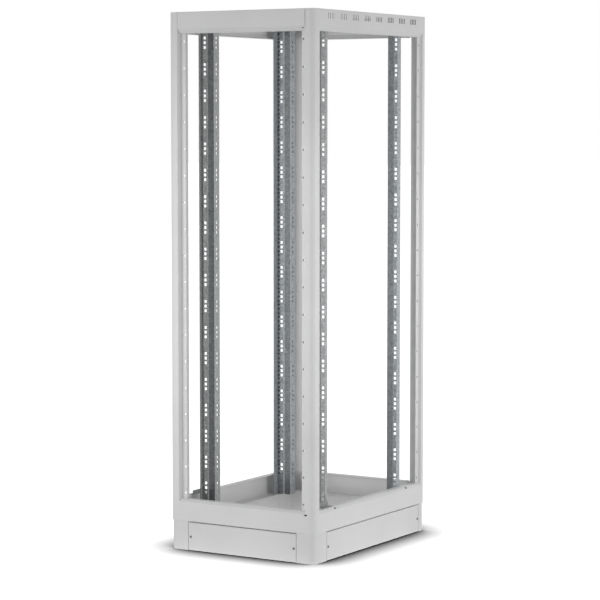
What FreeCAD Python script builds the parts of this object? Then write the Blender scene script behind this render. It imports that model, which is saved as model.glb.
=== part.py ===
"""Four post open frame rack on a plinth, built from bent sheet steel.

Millimetres, +Z up, standing on z = 0 with the origin under the middle of the
footprint. The front faces -Y and +X is to the right of someone facing it.
Four corner posts and eight beams make the frame, four pressed mounting rails
stand inside it on the EIA 19 inch hole pattern, and a low plinth carries it all.
"""
import FreeCAD, Part
import math
import os

# Overall size
WIDTH = 570.0
DEPTH = 755.0
HEIGHT = 1800.0
PLINTH_HEIGHT = 98.0
SHEET = 2.0                       # thickness of every sheet
HALF_W = WIDTH / 2
HALF_D = DEPTH / 2

# EIA-310 hole pattern
HOLE_LINE = 465.1 / 2             # hole column from the middle of the rack
APERTURE = 450.0 / 2              # half of the clear width between the front posts
UNIT = 44.45
HOLE_STEP = 15.875
GROUP_STEP = 2 * UNIT             # one group of three holes every second unit
GROUPS = 18
FIRST_GROUP = 191.5               # height of the lowest group's middle hole
GROUP_HEIGHTS = [FIRST_GROUP + GROUP_STEP * i for i in range(GROUPS)]

# Corner post section, measured inwards from the outer corner
CORNER_RADIUS = 22.0
BEND = 3.0                        # outside radius of an ordinary bend
POST_FACE = HALF_W - APERTURE     # width of a front post seen from the front
POST_SIDE = 51.0                  # width of every post seen from the side
POST_BACK = 61.0                  # width of a rear post's flat rear face
FRONT_BAND = 37.0                 # flat outer band on the front
FRONT_DEPTH = 16.5                # from the band back to the flange with the holes
SIDE_BAND = 30.0                  # flat outer band on the side
SIDE_DEPTH = 11.0
STEP_RUN = 5.0                    # width of the steep step between band and flange
POST_RETURN = 12.0
POST_HOLE = 7.0
SIDE_HOLE_LINE = HALF_D - 43.0    # hole column of the side flanges

# Beams
TOP_JOINT = 1.0                   # gap between a top front beam's face and the bands
FLUSH = 1.4                       # overlap of the other beams' faces with the band's bend
TOP_BEAM_LOW = HEIGHT - 71.0
TOP_LIP = 16.0                    # height of the sloping lower lip
LIP_DEPTH = 10.0
LOW_BEAM_TOP = 172.0
LOW_LIP = 9.0
LOW_LIP_DEPTH = 8.0
INNER_FLANGE = 28.0
WIDE_FLANGE = 50.0                # carries the ends of the mounting rails
NARROW_FLANGE = 35.0
VENT_GROUPS = 8
VENT_GROUP_STEP = 78.8
VENT_SLITS = 4
VENT_SLIT_STEP = 11.0
VENT_SLIT_WIDTH = 5.0
VENT_BOTTOM = HEIGHT - 30.0
VENT_TOP = HEIGHT - 12.0

# Mounting rails, measured from the middle of the rack
RAIL_FRONT = 238.0                # flange plane of the front rails
RAIL_REAR = 250.0                 # flange plane of the rear rails
FRONT_RAIL_OUTER = 247.0          # inner face of the front rails' outer lip
REAR_RAIL_OUTER = 250.0
FRONT_RAIL_LIP = 12.0             # lips are turned forward
REAR_RAIL_LIP = 23.0
RAIL_FLANGE_END = 225.0           # inner end of the flange with the equipment holes
RAIL_RECESS = 4.0                 # from that flange back to the strip beside it
RAIL_RECESS_RUN = 3.0
RAIL_WEB = 198.0
RAIL_DEPTH = 36.0
RAIL_HOLE = 9.5                   # square, for cage nuts
WEB_HOLE = 8.0                    # square
WEB_HOLE_BACK = 20.0              # hole column of the web, from the flange plane
RAIL_BEND = 2.5
BRACKET_HEIGHT = 16.0
BRACKET_REACH = 20.0
BRACKET_FRONT = 292.0             # front end, from the middle of the rack

# Plinth
PLINTH_INSET = 3.0
PLINTH_RADIUS = CORNER_RADIUS - PLINTH_INSET
PLINTH_FRONT_SEAM = 213.0         # joint at the ends of the front and rear panels
PLINTH_NEAR_SEAM = 295.0          # joint at the front end of a side panel
PLINTH_FAR_SEAM = 334.0           # joint at the rear end of a side panel
PLINTH_JOINT = 1.0                # half of the gap at a joint
PLINTH_PANEL_HEIGHT = 95.0
PLINTH_TONGUE = 22.0              # corner flange behind a panel's end
PLINTH_FLANGE = 20.0

X_AXIS = FreeCAD.Vector(1, 0, 0)
Y_AXIS = FreeCAD.Vector(0, 1, 0)
Z_AXIS = FreeCAD.Vector(0, 0, 1)
ORIGIN = FreeCAD.Vector(0, 0, 0)


def sheet_wire(path, radii, thickness):
    """Closed outline of a bent sheet whose visible side follows path.

    path is a list of (a, b) points, radii one bend radius for each inner point,
    and the sheet lies to the right of the direction of travel.
    """
    points = [FreeCAD.Vector(a, b, 0) for a, b in path]
    runs = []
    for start, end in zip(points, points[1:]):
        along = (end - start).normalize()
        runs.append((along, FreeCAD.Vector(along.y, -along.x, 0)))
    sides = []
    for offset in (0.0, thickness):
        edges = []
        last = points[0] + runs[0][1] * offset
        for index, radius in enumerate(radii):
            (before, right_before), (after, right_after) = runs[index], runs[index + 1]
            turn = math.atan2(before.x * after.y - before.y * after.x, before.dot(after))
            side = -1.0 if turn > 0 else 1.0
            reach = radius * math.tan(abs(turn) / 2)
            corner = points[index + 1]
            bend_in = corner - before * reach
            centre = bend_in + right_before * (radius * side)
            arc_radius = radius - side * offset
            arc_start = bend_in + right_before * offset
            arc_end = corner + after * reach + right_after * offset
            outward = (corner - centre).normalize()
            edges.append(Part.LineSegment(last, arc_start).toShape())
            edges.append(Part.Arc(arc_start, centre + outward * arc_radius, arc_end).toShape())
            last = arc_end
        final = points[-1] + runs[-1][1] * offset
        edges.append(Part.LineSegment(last, final).toShape())
        sides.append((edges, points[0] + runs[0][1] * offset, final))
    (outer, outer_start, outer_end), (inner, inner_start, inner_end) = sides
    caps = [Part.makeLine(outer_end, inner_end), Part.makeLine(inner_start, outer_start)]
    return Part.Wire(Part.__sortEdges__(outer + inner + caps))


def upright(path, radii, low, high):
    """Sheet section in the XY plane, raised from low to high."""
    face = Part.Face(sheet_wire(path, radii, SHEET))
    face.translate(FreeCAD.Vector(0, 0, low))
    return face.extrude(FreeCAD.Vector(0, 0, high - low))


def lying(path, radii, half_length):
    """Sheet section of (depth, height) points, run along X about the middle."""
    face = Part.Face(sheet_wire(path, radii, SHEET))
    face.rotate(ORIGIN, X_AXIS, 90)
    face.rotate(ORIGIN, Z_AXIS, 90)
    face.translate(FreeCAD.Vector(-half_length, 0, 0))
    return face.extrude(FreeCAD.Vector(2 * half_length, 0, 0))


def box(x_low, x_high, y_low, y_high, z_low, z_high):
    corner = FreeCAD.Vector(x_low, y_low, z_low)
    return Part.makeBox(x_high - x_low, y_high - y_low, z_high - z_low, corner)


def mirror_x(shape):
    return shape.mirror(ORIGIN, X_AXIS)


def mirror_y(shape):
    return shape.mirror(ORIGIN, Y_AXIS)


def post_outline(is_front):
    """Visible line of a left post, drawn for the front corner of the rack.

    It runs from the inner edge of the front face, around the rounded corner and
    the groove of the side face, to the end of the side's return. Only a front
    post has a groove in its front face too.
    """
    left, front = -HALF_W, -HALF_D
    flange, side_flange = front + FRONT_DEPTH, left + SIDE_DEPTH
    if is_front:
        face = [
            (left + POST_FACE, flange + POST_RETURN),
            (left + POST_FACE, flange),
            (left + FRONT_BAND + STEP_RUN, flange),
            (left + FRONT_BAND, front),
        ]
    else:
        face = [(left + POST_BACK, front)]
    return face + [
        (left, front),
        (left, front + SIDE_BAND),
        (side_flange, front + SIDE_BAND + STEP_RUN),
        (side_flange, front + POST_SIDE),
        (side_flange + POST_RETURN, front + POST_SIDE),
    ]


def post(is_front):
    """Left corner post with its columns of fixing holes, at the front corner."""
    inner = BEND - SHEET
    radii = [CORNER_RADIUS, BEND, inner, BEND]
    if is_front:
        radii = [BEND, inner, BEND] + radii
    section = upright(post_outline(is_front), radii, PLINTH_HEIGHT + SHEET, HEIGHT - SHEET)
    drills = []
    for height in GROUP_HEIGHTS:
        side_start = FreeCAD.Vector(-HALF_W, -SIDE_HOLE_LINE, height)
        drills.append(Part.makeCylinder(POST_HOLE / 2, SIDE_DEPTH + 2 * SHEET, side_start, X_AXIS))
        if is_front:
            face_start = FreeCAD.Vector(-HOLE_LINE, -HALF_D, height)
            drills.append(Part.makeCylinder(POST_HOLE / 2, FRONT_DEPTH + 2 * SHEET, face_start, Y_AXIS))
    return section.cut(Part.makeCompound(drills))


def is_upright_at(edge, x, y):
    return all(math.hypot(v.X - x, v.Y - y) < 0.01 for v in edge.Vertexes)


def end_plate(is_front, low):
    """Plate within the post's own outline that closes one end of a post."""
    outline = post_outline(is_front)
    outline.append((outline[0][0], outline[-1][1]))
    points = [FreeCAD.Vector(x, y, low) for x, y in outline]
    face = Part.Face(Part.makePolygon(points + points[:1]))
    plate = face.extrude(FreeCAD.Vector(0, 0, SHEET))
    corner = [edge for edge in plate.Edges if is_upright_at(edge, -HALF_W, -HALF_D)]
    return plate.makeFillet(CORNER_RADIUS, corner)


def four_corners(name, front, rear):
    """Two left pieces, both built at the front corner, and their mirror images."""
    return {
        name + "_front_left": front,
        name + "_front_right": mirror_x(front),
        name + "_rear_left": mirror_y(rear),
        name + "_rear_right": mirror_x(mirror_y(rear)),
    }


def corner_nodes():
    """Posts with the plates that close their ends."""
    top, base = HEIGHT - SHEET, PLINTH_HEIGHT
    nodes = four_corners("post", post(True), post(False))
    nodes.update(four_corners("top_plate", end_plate(True, top), end_plate(False, top)))
    nodes.update(four_corners("base_plate", end_plate(True, base), end_plate(False, base)))
    return nodes


def top_beam(plane, half_length, flange):
    """Top beam across the front: flange above, flat face, sloping lip below."""
    path = [
        (-plane + INNER_FLANGE, TOP_BEAM_LOW),
        (-plane + LIP_DEPTH, TOP_BEAM_LOW),
        (-plane, TOP_BEAM_LOW + TOP_LIP),
        (-plane, HEIGHT),
        (-plane + flange, HEIGHT),
    ]
    return lying(path, [BEND, BEND, BEND], half_length)


def low_beam(plane, half_length, flange):
    """Bottom beam across the front: flange below, flat face, small lip above."""
    path = [
        (-plane + flange, PLINTH_HEIGHT),
        (-plane, PLINTH_HEIGHT),
        (-plane, LOW_BEAM_TOP - LOW_LIP),
        (-plane + LOW_LIP_DEPTH, LOW_BEAM_TOP),
        (-plane + INNER_FLANGE, LOW_BEAM_TOP),
    ]
    return lying(path, [BEND, BEND, BEND], half_length)


def groove_beam(section, plane, half_length, flange, depth, cover_end):
    """Beam across the front that runs on over its posts' grooves, up to the bands."""
    long_beam = section(plane, cover_end, flange)
    covers = []
    for side in (-1, 1):
        plan = [
            (half_length, -plane),
            (cover_end, -plane),
            (cover_end - STEP_RUN, -plane + depth),
            (half_length, -plane + depth),
        ]
        points = [FreeCAD.Vector(side * x, y, 0) for x, y in plan]
        groove = Part.Face(Part.makePolygon(points + points[:1]))
        covers.append(long_beam.common(groove.extrude(FreeCAD.Vector(0, 0, HEIGHT))))
    return section(plane, half_length, flange).fuse(covers)


def vents():
    """Groups of upright slits near the top of a side beam, for the left one."""
    slits = []
    first_group = -(VENT_GROUPS - 1) / 2 * VENT_GROUP_STEP
    first_slit = -(VENT_SLITS - 1) / 2 * VENT_SLIT_STEP
    for group in range(VENT_GROUPS):
        for slit in range(VENT_SLITS):
            middle = first_group + group * VENT_GROUP_STEP + first_slit + slit * VENT_SLIT_STEP
            low, high = middle - VENT_SLIT_WIDTH / 2, middle + VENT_SLIT_WIDTH / 2
            slits.append(box(-HALF_W - 1, -HALF_W + 2 * SHEET, low, high, VENT_BOTTOM, VENT_TOP))
    return Part.makeCompound(slits)


def turned_left(shape):
    """A piece built across the front, turned to the left side."""
    turned = shape.copy()
    turned.rotate(ORIGIN, Z_AXIS, -90)
    return turned


def front_beams():
    """Top and bottom beam of the front, which cover the front posts' grooves."""
    band = HALF_W - FRONT_BAND
    size = (HALF_D, APERTURE, NARROW_FLANGE, FRONT_DEPTH)
    top = groove_beam(top_beam, *size, band - TOP_JOINT)
    low = groove_beam(low_beam, *size, band + FLUSH)
    return {"top_beam_front": top, "bottom_beam_front": low}


def rear_beams():
    """Top and bottom beam of the rear, which end at the rear posts' flat faces."""
    half_length = HALF_W - POST_BACK
    top = top_beam(HALF_D, half_length, NARROW_FLANGE)
    low = low_beam(HALF_D, half_length, NARROW_FLANGE)
    return {"top_beam_rear": mirror_y(top), "bottom_beam_rear": mirror_y(low)}


def side_beams():
    """Top and bottom beams of both sides, the top ones with their vents."""
    band = HALF_D - SIDE_BAND
    size = (HALF_W, HALF_D - POST_SIDE, WIDE_FLANGE, SIDE_DEPTH)
    top_left = turned_left(groove_beam(top_beam, *size, band + FLUSH)).cut(vents())
    low_left = turned_left(groove_beam(low_beam, *size, band + FLUSH))
    return {
        "top_beam_left": top_left,
        "top_beam_right": mirror_x(top_left),
        "bottom_beam_left": low_left,
        "bottom_beam_right": mirror_x(low_left),
    }


def beams(corners):
    """The eight beams, trimmed where they meet the posts and plates in corners."""
    solids = Part.makeCompound(list(corners.values()))
    nodes = {}
    for group in (front_beams(), rear_beams(), side_beams()):
        for name, beam in group.items():
            nodes[name] = beam.cut(solids).removeSplitter()
    return nodes


def rail_holes(front, middle):
    """Cutters for one square hole in a left rail's flange and one in its web."""
    half, web_half = RAIL_HOLE / 2, WEB_HOLE / 2
    web_middle = front + WEB_HOLE_BACK
    return [
        box(-HOLE_LINE - half, -HOLE_LINE + half, front - 1, front + 2 * SHEET,
            middle - half, middle + half),
        box(-RAIL_WEB - 2 * SHEET, -RAIL_WEB + 1, web_middle - web_half, web_middle + web_half,
            middle - web_half, middle + web_half),
    ]


def mounting_rail(outer, lip):
    """Left rail on the front rails' plane: flange, recessed strip and web behind it.

    Its outer edge is turned forward by lip, with the lip's inner face at outer.
    """
    front = -RAIL_FRONT
    path = [
        (-RAIL_WEB, front + RAIL_DEPTH),
        (-RAIL_WEB, front + RAIL_RECESS),
        (-RAIL_FLANGE_END + RAIL_RECESS_RUN, front + RAIL_RECESS),
        (-RAIL_FLANGE_END, front),
        (-outer, front),
        (-outer, front - lip),
    ]
    inner = RAIL_BEND - SHEET
    section = upright(path, [RAIL_BEND, inner, RAIL_BEND, inner], PLINTH_HEIGHT + SHEET, HEIGHT - SHEET)
    cutters = []
    for group in GROUP_HEIGHTS:
        for middle in (group - HOLE_STEP, group, group + HOLE_STEP):
            cutters.extend(rail_holes(front, middle))
    return section.cut(Part.makeCompound(cutters))


def rails():
    """Front and rear rails, all facing the front."""
    front = mounting_rail(FRONT_RAIL_OUTER, FRONT_RAIL_LIP)
    rear = mounting_rail(REAR_RAIL_OUTER, REAR_RAIL_LIP)
    rear.translate(FreeCAD.Vector(0, RAIL_FRONT + RAIL_REAR, 0))
    return {
        "mounting_rail_front_left": front,
        "mounting_rail_front_right": mirror_x(front),
        "mounting_rail_rear_left": rear,
        "mounting_rail_rear_right": mirror_x(rear),
    }


def rail_brackets():
    """Angles that tie the front rails' lips to the side beams' upper flanges."""
    outside = -FRONT_RAIL_OUTER - SHEET
    path = [
        (outside, LOW_BEAM_TOP + BRACKET_HEIGHT),
        (outside, LOW_BEAM_TOP),
        (outside - BRACKET_REACH, LOW_BEAM_TOP),
    ]
    left = turned_left(lying(path, [BEND], (BRACKET_FRONT - RAIL_FRONT) / 2))
    left.translate(FreeCAD.Vector(0, -(BRACKET_FRONT + RAIL_FRONT) / 2, 0))
    return {"low_bracket_left": left, "low_bracket_right": mirror_x(left)}


def plinth_corner(side_seam):
    """Rounded front left corner of the plinth, with a tongue behind each panel."""
    left = -HALF_W + PLINTH_INSET
    front = -HALF_D + PLINTH_INSET
    front_end, side_end = PLINTH_FRONT_SEAM + PLINTH_JOINT, side_seam + PLINTH_JOINT
    path = [(-front_end, front), (left, front), (left, -side_end)]
    corner = upright(path, [PLINTH_RADIUS], 0, PLINTH_HEIGHT)
    low, high = 3 * SHEET, PLINTH_HEIGHT - 3 * SHEET
    front_tongue = box(-PLINTH_FRONT_SEAM - PLINTH_TONGUE, -PLINTH_FRONT_SEAM + PLINTH_TONGUE,
                       front + SHEET, front + 2 * SHEET, low, high)
    side_start = max(-side_seam - PLINTH_TONGUE, front + PLINTH_RADIUS)
    side_tongue = box(left + SHEET, left + 2 * SHEET,
                      side_start, -side_seam + PLINTH_TONGUE, low, high)
    return corner.fuse([front_tongue, side_tongue]).removeSplitter()


def plinth_panel(plane, half_length):
    """Channel shaped plinth panel across the front."""
    path = [
        (-plane + PLINTH_FLANGE, 0),
        (-plane, 0),
        (-plane, PLINTH_PANEL_HEIGHT),
        (-plane + PLINTH_FLANGE, PLINTH_PANEL_HEIGHT),
    ]
    return lying(path, [BEND, BEND], half_length - PLINTH_JOINT)


def plinth():
    """Four plinth corners and four plinth panels."""
    near = plinth_corner(PLINTH_NEAR_SEAM)
    far = mirror_y(plinth_corner(PLINTH_FAR_SEAM))
    front = plinth_panel(HALF_D - PLINTH_INSET, PLINTH_FRONT_SEAM)
    left = turned_left(plinth_panel(HALF_W - PLINTH_INSET, (PLINTH_NEAR_SEAM + PLINTH_FAR_SEAM) / 2))
    left.translate(FreeCAD.Vector(0, (PLINTH_FAR_SEAM - PLINTH_NEAR_SEAM) / 2, 0))
    return {
        "plinth_corner_front_left": near,
        "plinth_corner_front_right": mirror_x(near),
        "plinth_corner_rear_left": far,
        "plinth_corner_rear_right": mirror_x(far),
        "plinth_panel_front": front,
        "plinth_panel_rear": mirror_y(front),
        "plinth_panel_left": left,
        "plinth_panel_right": mirror_x(left),
    }


def model():
    """Every node of the rack by name."""
    corners = corner_nodes()
    nodes = dict(corners)
    for group in (beams(corners), rails(), rail_brackets(), plinth()):
        nodes.update(group)
    return nodes


if __name__ == "__main__":
    os.makedirs("parts", exist_ok=True)
    for node, shape in model().items():
        solids = shape.Solids
        print(node, len(solids), shape.isValid(), round(shape.Volume / 1000, 1), "cm3")
        if len(solids) == 1:
            shape = solids[0]
        shape.exportStep("parts/" + node + ".step")
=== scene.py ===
"""Looks of the four post open frame rack: powder coat, zinc, screws, light and camera.

Metres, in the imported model's own frame: +Z up, standing on z = 0, front towards -Y,
+X to the right of someone facing the front. Every piece sits at the origin with its
place in its mesh, so Object coordinates are metres on the rack itself.
"""
import math

import bmesh
import bpy
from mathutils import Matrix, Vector


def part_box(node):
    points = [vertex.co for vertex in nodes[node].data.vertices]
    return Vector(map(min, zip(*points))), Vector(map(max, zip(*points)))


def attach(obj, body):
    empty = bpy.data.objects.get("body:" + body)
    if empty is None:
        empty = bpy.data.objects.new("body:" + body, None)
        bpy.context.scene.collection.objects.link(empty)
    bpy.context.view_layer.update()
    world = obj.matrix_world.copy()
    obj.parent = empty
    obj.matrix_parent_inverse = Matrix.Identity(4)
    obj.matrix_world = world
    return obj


MM = 0.001
BODY = "root"

# The camera stands to the right of the rack's front, a little above its middle
CAMERA_AZIMUTH = math.radians(31.483)
CAMERA_ELEVATION = math.radians(4.523)
CAMERA_DISTANCE = 7.7124
CAMERA_TARGET = Vector((-0.00172, 0.0, 0.82796))
CAMERA_LENS = 134.846
CAMERA_SENSOR = 36.0

# Two square lamps, at the right side and before the left of the front
LAMP_SIZE = 1.6
LAMP_SPREAD = math.radians(70.0)
SIDE_LAMP = {"place": (2.6, 0.1, 0.9), "aim": (0.0, 0.1, 0.9), "power": 8.2}
FRONT_LAMP = {"place": (-1.1, -2.4, 0.9), "aim": (0.0, 0.0, 0.9), "power": 7.0}
WORLD_COLOUR = (0.985, 0.99, 1.0, 1.0)
WORLD_STRENGTH = 0.5
WHITE = (1.0, 1.0, 1.0, 1.0)
BLACK = (0.0, 0.0, 0.0, 1.0)

# The floor: its colour, and its own light where it is open and where the rack closes it in
FLOOR_REACH = 60.0
FLOOR_COLOUR = (0.8, 0.8, 0.8, 1.0)
FLOOR_GLOW_OPEN = 0.8
FLOOR_GLOW_NEAR = 0.75
FLOOR_FILL = 1.5                  # light the closed-in floor sends up into the rack
FLOOR_SHADOW_REACH = 0.3
# Painted contact shadow of the seen floor: how far it reaches and how dark it gets at the foot
CONTACT_REACH = 0.16
CONTACT_DARKEST = -0.95           # below zero, as a foot covers only half of the floor's sky

# Finishes: scales are features a metre, reliefs a strength and a height
COAT_CLOUD_SCALE = 4.0
COAT_SHEEN_SCALE = 24.0
COAT_PEEL_SCALE = 700.0
COAT_ROUGHNESS = (0.40, 0.52)
COAT_RELIEF = (0.12, 0.3 * MM)
ZINC_CRYSTAL_SCALE = 210.0
ZINC_MOTTLE_SCALE = 90.0
ZINC_MOTTLE_SHARE = 0.45
ZINC_STOPS = (0.2, 0.8)           # where the darkest and the lightest grey are reached
ZINC_ROUGHNESS = (0.58, 0.46)
ZINC_METALLIC = 0.3
ZINC_RELIEF = (0.1, 0.1 * MM)
STEEL_STAIN_SCALE = 900.0
STEEL_GREYS = ((0.09, 0.09, 0.095), (0.2, 0.2, 0.21))
STEEL_ROUGHNESS = (0.35, 0.5)
STEEL_METALLIC = 0.8
PLASTIC_GRAIN_SCALE = 2000.0
PLASTIC_GREYS = ((0.008, 0.008, 0.008), (0.014, 0.014, 0.014))
PLASTIC_ROUGHNESS = 0.6
PLASTIC_RELIEF = (0.2, 0.05 * MM)
STOPS = (0.3, 0.7)                # the same for every finish but zinc

# Which finish a face takes
SIDEWAYS = 0.5                    # a face looks sideways where its normal's X passes this; sideways rail faces get painted light
RAIL_STRIP_END = 224.0 * MM       # outer end of a rail's recessed strip, which gets painted shade
SLIT_LOW = 1770.0 * MM            # vent slits of the side top beams, whose walls get painted shade
SLIT_HIGH = 1788.0 * MM

# Screws
SCREW_HEAD = (4.0 * MM, 2.2 * MM)  # radius and height
HEAD_SEED = 7
PLINTH_SCREW_IN = 9.0 * MM        # from a front panel's end to its screw
PLINTH_SCREW_IN_SIDE = 7.5 * MM   # from a side panel's end to its screw
PLINTH_SCREW_HEIGHT = 46.0 * MM
LIP_SCREW_Y = 242.0 * MM
LIP_SCREW_Z = 167.0 * MM
LIP_SCREW_IN = 3.6 * MM           # from a side bottom beam's outer face
LIP_FACING = (9.0, 0.0, 8.0)      # the way the right beam's sloping lip faces

# Shape of a screw's head of unit radius and height
HEAD_STEPS = 32
HEAD_PROFILE = [(1.0, 0.0), (1.0, 0.35), (0.9, 0.68), (0.72, 0.88), (0.5, 0.97)]
CROSS_ARM = 0.46
CROSS_HALF_WIDTH = 0.09
CROSS_FLOOR = 0.45
CROSS_TAPER = 0.8                 # size of the recess at its floor

# Threaded inserts along the rear rails' outer edge, three for each rack unit
UNIT = 44.45 * MM
UNITS = 36
LOWEST_UNIT = 169.275 * MM
INSERT_OFFSETS = (6.35 * MM, 22.225 * MM, 38.1 * MM)
INSERT_HEAD = (3.6 * MM, 0.5 * MM)  # radius and height of the rim
INSERT_IN = 8.5 * MM              # from the rail's outer face
INSERT_STEPS = 20
INSERT_PROFILE = [(1.0, 0.0), (1.0, 0.7), (0.88, 1.0), (0.62, 1.0), (0.55, 0.1)]
REAR_LIP = 23.0 * MM              # from the rail's front end to its flange

# Oval dark pieces where the front beams meet the right front post: painted shade, standing in for
# dark holes there
HOLE_SHADE_STEPS = 24
HOLE_SHADE_PROUD = 0.8 * MM
LOW_HOLE_SHADE = {"from_edge": 26.0 * MM, "inset": 0.0, "middle": 160.5 * MM,
            "width": 11.0 * MM, "height": 5.0 * MM}
TOP_HOLE_SHADE = {"from_edge": 12.5 * MM, "inset": 4.0 * MM, "middle": 1738.5 * MM,
            "width": 7.0 * MM, "height": 3.5 * MM}

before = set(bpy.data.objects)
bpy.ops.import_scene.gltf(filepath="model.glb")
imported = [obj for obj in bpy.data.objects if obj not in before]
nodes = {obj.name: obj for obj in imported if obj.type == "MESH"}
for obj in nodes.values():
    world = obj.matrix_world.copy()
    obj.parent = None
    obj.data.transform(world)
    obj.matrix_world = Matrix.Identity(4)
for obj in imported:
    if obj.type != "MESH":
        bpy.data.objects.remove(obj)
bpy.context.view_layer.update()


# ---------------------------------------------------------------- materials

def new_material(name):
    """Empty node material with one Principled shader; returns all three."""
    material = bpy.data.materials.new(name)
    material.use_nodes = True
    tree = material.node_tree
    tree.nodes.clear()
    output = tree.nodes.new("ShaderNodeOutputMaterial")
    shader = tree.nodes.new("ShaderNodeBsdfPrincipled")
    tree.links.new(shader.outputs["BSDF"], output.inputs["Surface"])
    return material, tree, shader


def texture(tree, kind, scale):
    """Texture node of a kind, on Object coordinates."""
    node = tree.nodes.new(kind)
    node.inputs["Scale"].default_value = scale
    where = tree.nodes.new("ShaderNodeTexCoord")
    tree.links.new(where.outputs["Object"], node.inputs["Vector"])
    return node


def noise(tree, scale, detail):
    """Cloudy factor from 0 to 1, finer with more detail."""
    node = texture(tree, "ShaderNodeTexNoise", scale)
    node.inputs["Detail"].default_value = detail
    return node.outputs["Fac"]


def ramp(tree, factor, stops, colours):
    """The first colour up to the first stop, blended to the second at the second stop."""
    node = tree.nodes.new("ShaderNodeValToRGB")
    for element, position, colour in zip(node.color_ramp.elements, stops, colours):
        element.position = position
        element.color = (*colour, 1.0)
    tree.links.new(factor, node.inputs["Fac"])
    return node.outputs["Color"]


def spread(tree, factor, low, high):
    """Factor from 0 to 1 mapped on to low to high."""
    node = tree.nodes.new("ShaderNodeMapRange")
    node.inputs["To Min"].default_value = low
    node.inputs["To Max"].default_value = high
    tree.links.new(factor, node.inputs["Value"])
    return node.outputs["Result"]


def bump(tree, shader, height, strength, distance):
    """Relief of the surface by height, no deeper than distance."""
    node = tree.nodes.new("ShaderNodeBump")
    node.inputs["Strength"].default_value = strength
    node.inputs["Distance"].default_value = distance
    tree.links.new(height, node.inputs["Height"])
    tree.links.new(node.outputs["Normal"], shader.inputs["Normal"])


def powder_coat(name, dark, light):
    """Powder coat: faint cloudiness, satin sheen and orange peel."""
    material, tree, shader = new_material(name)
    clouds = noise(tree, COAT_CLOUD_SCALE, 3.0)
    tree.links.new(ramp(tree, clouds, STOPS, (dark, light)), shader.inputs["Base Color"])
    sheen = noise(tree, COAT_SHEEN_SCALE, 2.0)
    tree.links.new(spread(tree, sheen, *COAT_ROUGHNESS), shader.inputs["Roughness"])
    peel = noise(tree, COAT_PEEL_SCALE, 2.0)
    bump(tree, shader, peel, *COAT_RELIEF)
    return material


def galvanised(name, dark, light):
    """Dull zinc: crystal patches of differing grey over a fine mottle."""
    material, tree, shader = new_material(name)
    crystals = texture(tree, "ShaderNodeTexVoronoi", ZINC_CRYSTAL_SCALE)
    grey = tree.nodes.new("ShaderNodeSeparateColor")
    tree.links.new(crystals.outputs["Color"], grey.inputs["Color"])
    mottle = noise(tree, ZINC_MOTTLE_SCALE, 4.0)
    mix = tree.nodes.new("ShaderNodeMix")
    mix.inputs["Factor"].default_value = ZINC_MOTTLE_SHARE
    tree.links.new(grey.outputs["Red"], mix.inputs[2])
    tree.links.new(mottle, mix.inputs[3])
    patches = mix.outputs[0]
    tree.links.new(ramp(tree, patches, ZINC_STOPS, (dark, light)), shader.inputs["Base Color"])
    tree.links.new(spread(tree, patches, *ZINC_ROUGHNESS), shader.inputs["Roughness"])
    shader.inputs["Metallic"].default_value = ZINC_METALLIC
    bump(tree, shader, patches, *ZINC_RELIEF)
    return material


def screw_steel(name):
    """Darkened steel of the screws."""
    material, tree, shader = new_material(name)
    stain = noise(tree, STEEL_STAIN_SCALE, 3.0)
    tree.links.new(ramp(tree, stain, STOPS, STEEL_GREYS), shader.inputs["Base Color"])
    tree.links.new(spread(tree, stain, *STEEL_ROUGHNESS), shader.inputs["Roughness"])
    shader.inputs["Metallic"].default_value = STEEL_METALLIC
    return material


def plastic_and_hole_shade(name):
    """Moulded plastic of the inserts; on the oval pieces at the right front post, painted shade of
    dark holes.
    """
    material, tree, shader = new_material(name)
    grain = noise(tree, PLASTIC_GRAIN_SCALE, 1.0)
    tree.links.new(ramp(tree, grain, STOPS, PLASTIC_GREYS), shader.inputs["Base Color"])
    shader.inputs["Roughness"].default_value = PLASTIC_ROUGHNESS
    bump(tree, shader, grain, *PLASTIC_RELIEF)
    return material


FRAME_PAINT = powder_coat("frame powder coat", (0.59, 0.59, 0.588), (0.64, 0.64, 0.638))
PLINTH_PAINT = powder_coat("plinth powder coat", (0.57, 0.57, 0.568), (0.62, 0.62, 0.618))
# Near-black coat: painted shade on the walls of the vent slits
SLIT_PAINTED_SHADE = powder_coat("slit painted shade coat", (0.1, 0.1, 0.1), (0.15, 0.15, 0.15))
# The side zincs are lighter copies of the two rail zincs: painted light on faces that look sideways
FRONT_ZINC = galvanised("front rail zinc", (0.19, 0.197, 0.197), (0.3, 0.31, 0.31))
FRONT_ZINC_SIDE_LIT = galvanised("front rail side zinc painted lit", (0.26, 0.268, 0.268), (0.4, 0.41, 0.412))
REAR_ZINC = galvanised("rear rail zinc", (0.16, 0.175, 0.187), (0.28, 0.298, 0.312))
REAR_ZINC_SIDE_LIT = galvanised("rear rail side zinc painted lit", (0.26, 0.276, 0.29), (0.42, 0.44, 0.455))
# Darker zinc: painted shade in the recessed strip by the web
STRIP_ZINC_SHADE = galvanised("rail strip zinc painted shade", (0.1, 0.108, 0.112), (0.17, 0.18, 0.186))
SCREW_STEEL = screw_steel("screw steel")
PLASTIC_AND_HOLE_SHADE = plastic_and_hole_shade("dark plastic and painted hole shade")


def paint_rail(node, flange, side):
    """Zinc of a rail: a lighter copy as painted light on what faces sideways, a darker copy as
    painted shade on the recessed strip by the web.
    """
    for finish in (flange, side, STRIP_ZINC_SHADE):
        node.data.materials.append(finish)
    for face in node.data.polygons:
        if abs(face.normal.x) > SIDEWAYS:
            face.material_index = 1
        elif abs(face.center.x) < RAIL_STRIP_END:
            face.material_index = 2
        else:
            face.material_index = 0


def paint_slit_shade(node):
    """Painted shade on the walls of the vent slits in a side top beam: a near-black coat where the
    slits lie in shadow.
    """
    node.data.materials.append(SLIT_PAINTED_SHADE)
    for face in node.data.polygons:
        if SLIT_LOW < face.center.z < SLIT_HIGH and abs(face.normal.x) < SIDEWAYS:
            face.material_index = 1


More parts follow.
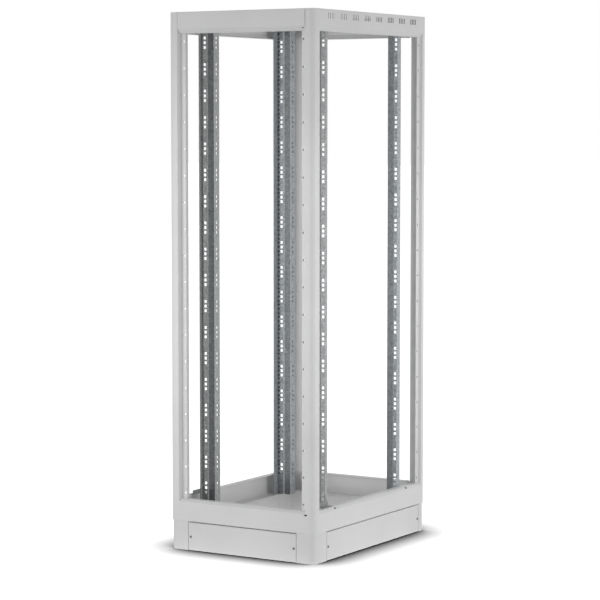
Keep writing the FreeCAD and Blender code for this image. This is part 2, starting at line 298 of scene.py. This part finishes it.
def paint_nodes():
    """Gives each sheet metal node its finish."""
    for name, node in nodes.items():
        node.data.materials.clear()
        if name.startswith("mounting_rail_front"):
            paint_rail(node, FRONT_ZINC, FRONT_ZINC_SIDE_LIT)
        elif name.startswith("mounting_rail_rear"):
            paint_rail(node, REAR_ZINC, REAR_ZINC_SIDE_LIT)
        elif name.startswith("low_bracket"):
            node.data.materials.append(FRONT_ZINC)
        elif name.startswith("plinth"):
            node.data.materials.append(PLINTH_PAINT)
        else:
            node.data.materials.append(FRAME_PAINT)
        if name in ("top_beam_left", "top_beam_right"):
            paint_slit_shade(node)


paint_nodes()


# ------------------------------------------------------------------- pieces

def finish_piece(piece):
    """Piece belongs to the rack's one body."""
    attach(piece, BODY)


def in_scene(name, data):
    """Object of that name in the scene, at the origin."""
    thing = bpy.data.objects.new(name, data)
    bpy.context.scene.collection.objects.link(thing)
    return thing


def socket_id(tree, label):
    """Identifier of a tree's named input, which is what a modifier is set by."""
    for item in tree.interface.items_tree:
        if item.item_type == "SOCKET" and item.in_out == "INPUT" and item.name == label:
            return item.identifier
    raise KeyError(label)


def head_tree():
    """Heads on the points of a mesh, facing the way that the points' attribute says.

    Inputs are the head's radius and height, the seed of its turn about its axis,
    the object that has its shape at unit size, and its material.
    """
    tree = bpy.data.node_groups.new("heads", "GeometryNodeTree")
    socket = tree.interface.new_socket
    socket("Geometry", in_out="INPUT", socket_type="NodeSocketGeometry")
    socket("Head Radius", in_out="INPUT", socket_type="NodeSocketFloat")
    socket("Head Height", in_out="INPUT", socket_type="NodeSocketFloat")
    socket("Seed", in_out="INPUT", socket_type="NodeSocketInt")
    socket("Head", in_out="INPUT", socket_type="NodeSocketObject")
    socket("Material", in_out="INPUT", socket_type="NodeSocketMaterial")
    socket("Geometry", in_out="OUTPUT", socket_type="NodeSocketGeometry")
    add, link = tree.nodes.new, tree.links.new
    given, result = add("NodeGroupInput"), add("NodeGroupOutput")
    head = add("GeometryNodeObjectInfo")
    link(given.outputs["Head"], head.inputs["Object"])
    size = add("ShaderNodeCombineXYZ")
    link(given.outputs["Head Radius"], size.inputs["X"])
    link(given.outputs["Head Radius"], size.inputs["Y"])
    link(given.outputs["Head Height"], size.inputs["Z"])
    sized = add("GeometryNodeTransform")
    link(head.outputs["Geometry"], sized.inputs["Geometry"])
    link(size.outputs["Vector"], sized.inputs["Scale"])
    facing = add("GeometryNodeInputNamedAttribute")
    facing.data_type = "FLOAT_VECTOR"
    facing.inputs["Name"].default_value = "facing"
    aim = add("FunctionNodeAlignRotationToVector")
    aim.axis = "Z"
    link(facing.outputs["Attribute"], aim.inputs["Vector"])
    turn = add("FunctionNodeRandomValue")
    turn.data_type = "FLOAT"
    turn.inputs[3].default_value = math.pi
    link(given.outputs["Seed"], turn.inputs["Seed"])
    spin = add("ShaderNodeCombineXYZ")
    link(turn.outputs[1], spin.inputs["Z"])
    turned = add("FunctionNodeRotateRotation")
    turned.rotation_space = "LOCAL"
    link(aim.outputs["Rotation"], turned.inputs["Rotation"])
    link(spin.outputs["Vector"], turned.inputs["Rotate By"])
    place = add("GeometryNodeInstanceOnPoints")
    link(given.outputs["Geometry"], place.inputs["Points"])
    link(sized.outputs["Geometry"], place.inputs["Instance"])
    link(turned.outputs["Rotation"], place.inputs["Rotation"])
    real = add("GeometryNodeRealizeInstances")
    link(place.outputs["Instances"], real.inputs["Geometry"])
    finish = add("GeometryNodeSetMaterial")
    link(real.outputs["Geometry"], finish.inputs["Geometry"])
    link(given.outputs["Material"], finish.inputs["Material"])
    link(finish.outputs["Geometry"], result.inputs["Geometry"])
    return tree


def join_rings(shape, first, second):
    """Band of four-sided faces between two rings of as many vertices."""
    for step in range(len(first)):
        after = (step + 1) % len(first)
        shape.faces.new((first[step], first[after], second[after], second[step]))


def round_shell(shape, profile, steps):
    """Rings of vertices about Z at the profile's (radius, height) points, joined."""
    rings = []
    for radius, height in profile:
        ring = []
        for step in range(steps):
            angle = math.tau * step / steps
            ring.append(shape.verts.new((radius * math.cos(angle), radius * math.sin(angle), height)))
        rings.append(ring)
    for lower, upper in zip(rings, rings[1:]):
        join_rings(shape, lower, upper)
    return rings


def mesh_of(shape, name):
    """Mesh made of a finished shape, which is freed."""
    mesh = bpy.data.meshes.new(name)
    shape.to_mesh(mesh)
    shape.free()
    return mesh


def ring_edges(shape, ring):
    """Edges of a closed ring of vertices, in its order."""
    count = len(ring)
    return [shape.edges.get((ring[step], ring[(step + 1) % count])) for step in range(count)]


def cross_head():
    """Pan head of unit radius and height with a cross recess, standing on z = 0."""
    shape = bmesh.new()
    rings = round_shell(shape, HEAD_PROFILE, HEAD_STEPS)
    arm, half = CROSS_ARM, CROSS_HALF_WIDTH
    outline = [
        (arm, -half), (arm, half), (half, half), (half, arm), (-half, arm), (-half, half),
        (-arm, half), (-arm, -half), (-half, -half), (-half, -arm), (half, -arm), (half, -half),
    ]
    crown = HEAD_PROFILE[-1][1]
    top = [shape.verts.new((x, y, crown)) for x, y in outline]
    low = [shape.verts.new((x * CROSS_TAPER, y * CROSS_TAPER, CROSS_FLOOR)) for x, y in outline]
    join_rings(shape, top, low)
    shape.faces.new(low)
    edges = ring_edges(shape, rings[-1]) + ring_edges(shape, top)
    bmesh.ops.triangle_fill(shape, edges=edges, use_beauty=True)
    shape.faces.new(list(reversed(rings[0])))
    bmesh.ops.recalc_face_normals(shape, faces=shape.faces)
    return bpy.data.objects.new("cross_head_pattern", mesh_of(shape, "cross head"))


def insert_ring():
    """Flanged rim of a threaded insert, of unit radius and height, with a deep bore."""
    shape = bmesh.new()
    rings = round_shell(shape, INSERT_PROFILE, INSERT_STEPS)
    shape.faces.new(rings[-1])
    shape.faces.new(list(reversed(rings[0])))
    return bpy.data.objects.new("insert_pattern", mesh_of(shape, "insert ring"))


HEAD_TREE = head_tree()
CROSS_HEAD = cross_head()
INSERT_RING = insert_ring()


def heads(name, places, material, size, head):
    """One mesh of heads at places, a list of (point, direction the head faces)."""
    mesh = bpy.data.meshes.new(name + " points")
    mesh.from_pydata([point for point, direction in places], [], [])
    facing = mesh.attributes.new("facing", "FLOAT_VECTOR", "POINT")
    for index, (point, direction) in enumerate(places):
        facing.data[index].vector = Vector(direction).normalized()
    carrier = in_scene(name + " carrier", mesh)
    modifier = carrier.modifiers.new("heads", "NODES")
    modifier.node_group = HEAD_TREE
    radius, height = size
    settings = {
        "Head Radius": radius,
        "Head Height": height,
        "Seed": HEAD_SEED,
        "Head": head,
        "Material": material,
    }
    for label, value in settings.items():
        modifier[socket_id(HEAD_TREE, label)] = value
    bpy.context.view_layer.update()
    evaluated = carrier.evaluated_get(bpy.context.evaluated_depsgraph_get())
    result = bpy.data.meshes.new_from_object(evaluated)
    bpy.data.objects.remove(carrier)
    return in_scene(name, result)


def plinth_screws():
    """Two screws at the ends of each plinth panel."""
    places = []
    for name in ("plinth_panel_front", "plinth_panel_rear"):
        low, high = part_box(name)
        outside, facing = (low.y, -1) if name.endswith("front") else (high.y, 1)
        for x in (low.x + PLINTH_SCREW_IN, high.x - PLINTH_SCREW_IN):
            places.append(((x, outside, PLINTH_SCREW_HEIGHT), (0, facing, 0)))
    for name in ("plinth_panel_left", "plinth_panel_right"):
        low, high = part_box(name)
        outside, facing = (low.x, -1) if name.endswith("left") else (high.x, 1)
        for y in (low.y + PLINTH_SCREW_IN_SIDE, high.y - PLINTH_SCREW_IN_SIDE):
            places.append(((outside, y, PLINTH_SCREW_HEIGHT), (facing, 0, 0)))
    piece = heads("plinth_screws", places, SCREW_STEEL, SCREW_HEAD, CROSS_HEAD)
    finish_piece(piece)


def rail_screws():
    """Screws through the sloping lips of the side bottom beams, one at each rail."""
    low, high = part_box("bottom_beam_right")
    slope = Vector(LIP_FACING).normalized()
    places = []
    for side in (-1, 1):
        for y in (-LIP_SCREW_Y, LIP_SCREW_Y):
            point = (side * (high.x - LIP_SCREW_IN), y, LIP_SCREW_Z)
            places.append((point, (side * slope.x, 0, slope.z)))
    piece = heads("rail_screws", places, SCREW_STEEL, SCREW_HEAD, CROSS_HEAD)
    finish_piece(piece)


def rail_inserts():
    """Column of dark threaded inserts along the outer edge of each rear rail's flange."""
    places = []
    for name in ("mounting_rail_rear_left", "mounting_rail_rear_right"):
        low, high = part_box(name)
        x = low.x + INSERT_IN if name.endswith("left") else high.x - INSERT_IN
        for unit in range(UNITS):
            for offset in INSERT_OFFSETS:
                height = LOWEST_UNIT + unit * UNIT + offset
                places.append(((x, low.y + REAR_LIP, height), (0, -1, 0)))
    piece = heads("rail_inserts", places, PLASTIC_AND_HOLE_SHADE, INSERT_HEAD, INSERT_RING)
    finish_piece(piece)


def oval(shape, middle, width, height, y):
    """Ring of vertices around a stadium in the XZ plane at y."""
    radius = height / 2
    ring = []
    for step in range(HOLE_SHADE_STEPS):
        angle = math.tau * (step + 0.5) / HOLE_SHADE_STEPS
        side = math.copysign(width / 2 - radius, math.cos(angle))
        x = middle[0] + side + radius * math.cos(angle)
        ring.append(shape.verts.new((x, y, middle[1] + radius * math.sin(angle))))
    return ring


def post_plugs():
    """Oval dark pieces in the right front post at the ends of the two front beams: painted shade of
    dark holes.
    """
    low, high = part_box("post_front_right")
    shape = bmesh.new()
    for hole in (LOW_HOLE_SHADE, TOP_HOLE_SHADE):
        middle = (low.x + hole["from_edge"], hole["middle"])
        width, height, plane = hole["width"], hole["height"], low.y + hole["inset"]
        back = oval(shape, middle, width, height, plane)
        rim = oval(shape, middle, width, height, plane - HOLE_SHADE_PROUD / 2)
        face = oval(shape, middle, width - HOLE_SHADE_PROUD, height - HOLE_SHADE_PROUD, plane - HOLE_SHADE_PROUD)
        join_rings(shape, back, rim)
        join_rings(shape, rim, face)
        shape.faces.new(face)
        shape.faces.new(list(reversed(back)))
    bmesh.ops.recalc_face_normals(shape, faces=shape.faces)
    mesh = mesh_of(shape, "post_plugs")
    mesh.materials.append(PLASTIC_AND_HOLE_SHADE)
    finish_piece(in_scene("post_plugs", mesh))


plinth_screws()
rail_screws()
rail_inserts()
post_plugs()


# -------------------------------------------------------------------- stage

def calculate(tree, operation, first, second):
    node = tree.nodes.new("ShaderNodeMath")
    node.operation = operation
    tree.links.new(first, node.inputs[0])
    tree.links.new(second, node.inputs[1])
    return node.outputs[0]


def add_shaders(tree, first, second):
    node = tree.nodes.new("ShaderNodeAddShader")
    tree.links.new(first, node.inputs[0])
    tree.links.new(second, node.inputs[1])
    return node.outputs[0]


def glow(tree, strength):
    node = tree.nodes.new("ShaderNodeEmission")
    tree.links.new(strength, node.inputs["Strength"])
    return node.outputs[0]


def openness(tree, reach):
    """How open a point is to its surroundings within reach, from 0 to 1."""
    node = tree.nodes.new("ShaderNodeAmbientOcclusion")
    node.inputs["Distance"].default_value = reach
    return node.outputs["AO"]


def background(tree, colour, strength):
    node = tree.nodes.new("ShaderNodeBackground")
    node.inputs["Color"].default_value = colour
    node.inputs["Strength"].default_value = strength
    return node.outputs[0]


def split_by_ray(tree, unseen, seen, output):
    """Camera, glossy and transmission rays meet the seen shader, all others the unseen one."""
    path = tree.nodes.new("ShaderNodeLightPath").outputs
    either = calculate(tree, "MAXIMUM", path["Is Camera Ray"], path["Is Glossy Ray"])
    any_ray = calculate(tree, "MAXIMUM", either, path["Is Transmission Ray"])
    mix = tree.nodes.new("ShaderNodeMixShader")
    tree.links.new(any_ray, mix.inputs["Fac"])
    tree.links.new(unseen, mix.inputs[1])
    tree.links.new(seen, mix.inputs[2])
    tree.links.new(mix.outputs[0], output.inputs["Surface"])


def build_world():
    """Plain sky that lights the rack, and a white one behind it."""
    world = bpy.data.worlds.new("studio")
    bpy.context.scene.world = world
    world.use_nodes = True
    tree = world.node_tree
    tree.nodes.clear()
    output = tree.nodes.new("ShaderNodeOutputWorld")
    sky = background(tree, WORLD_COLOUR, WORLD_STRENGTH)
    backdrop = background(tree, WHITE, 1.0)
    split_by_ray(tree, sky, backdrop, output)


def floor_material():
    """Seen floor: white where it is open, with a painted shadow at the rack's foot. Unseen floor: a
    pale one that sends some light up where the rack closes it in."""
    material = bpy.data.materials.new("studio floor")
    material.use_nodes = True
    tree = material.node_tree
    tree.nodes.clear()
    output = tree.nodes.new("ShaderNodeOutputMaterial")
    around = openness(tree, FLOOR_SHADOW_REACH)
    contact = openness(tree, CONTACT_REACH)
    # Painted shadow: the seen floor turns dark and glows less at the rack's foot
    clear_of_foot = spread(tree, contact, CONTACT_DARKEST, 1.0)
    lit = spread(tree, around, FLOOR_GLOW_NEAR, FLOOR_GLOW_OPEN)
    own_light = glow(tree, calculate(tree, "MULTIPLY", lit, clear_of_foot))
    shaded = tree.nodes.new("ShaderNodeBsdfDiffuse")
    greys = ramp(tree, clear_of_foot, (0.0, 1.0), (BLACK[:3], FLOOR_COLOUR[:3]))
    tree.links.new(greys, shaded.inputs["Color"])
    seen = add_shaders(tree, shaded.outputs[0], own_light)
    plain = tree.nodes.new("ShaderNodeBsdfDiffuse")
    plain.inputs["Color"].default_value = FLOOR_COLOUR
    fill = glow(tree, spread(tree, around, FLOOR_FILL, 0.0))
    unseen = add_shaders(tree, plain.outputs[0], fill)
    split_by_ray(tree, unseen, seen, output)
    return material


def build_floor():
    reach = FLOOR_REACH
    corners = [(-reach, -reach, 0), (reach, -reach, 0), (reach, reach, 0), (-reach, reach, 0)]
    mesh = bpy.data.meshes.new("studio_floor")
    mesh.from_pydata(corners, [], [(0, 1, 2, 3)])
    floor = in_scene("studio_floor", mesh)
    floor.data.materials.append(floor_material())


def area_light(name, place, aim, power):
    lamp = bpy.data.lights.new(name, "AREA")
    lamp.shape = "SQUARE"
    lamp.size = LAMP_SIZE
    lamp.spread = LAMP_SPREAD
    lamp.energy = power
    holder = in_scene(name, lamp)
    holder.location = place
    holder.rotation_euler = (Vector(aim) - Vector(place)).to_track_quat("-Z", "Y").to_euler()


def build_camera():
    level = CAMERA_DISTANCE * math.cos(CAMERA_ELEVATION)
    offset = Vector((level * math.sin(CAMERA_AZIMUTH), -level * math.cos(CAMERA_AZIMUTH),
                     CAMERA_DISTANCE * math.sin(CAMERA_ELEVATION)))
    data = bpy.data.cameras.new("camera")
    data.sensor_width = CAMERA_SENSOR
    data.lens = CAMERA_LENS
    camera = in_scene("camera", data)
    camera.location = CAMERA_TARGET + offset
    camera.rotation_euler = (-offset).to_track_quat("-Z", "Y").to_euler()
    bpy.context.scene.camera = camera


build_world()
build_floor()
area_light("side light", **SIDE_LAMP)
area_light("front light", **FRONT_LAMP)
build_camera()
bpy.context.scene.view_settings.view_transform = "Standard"
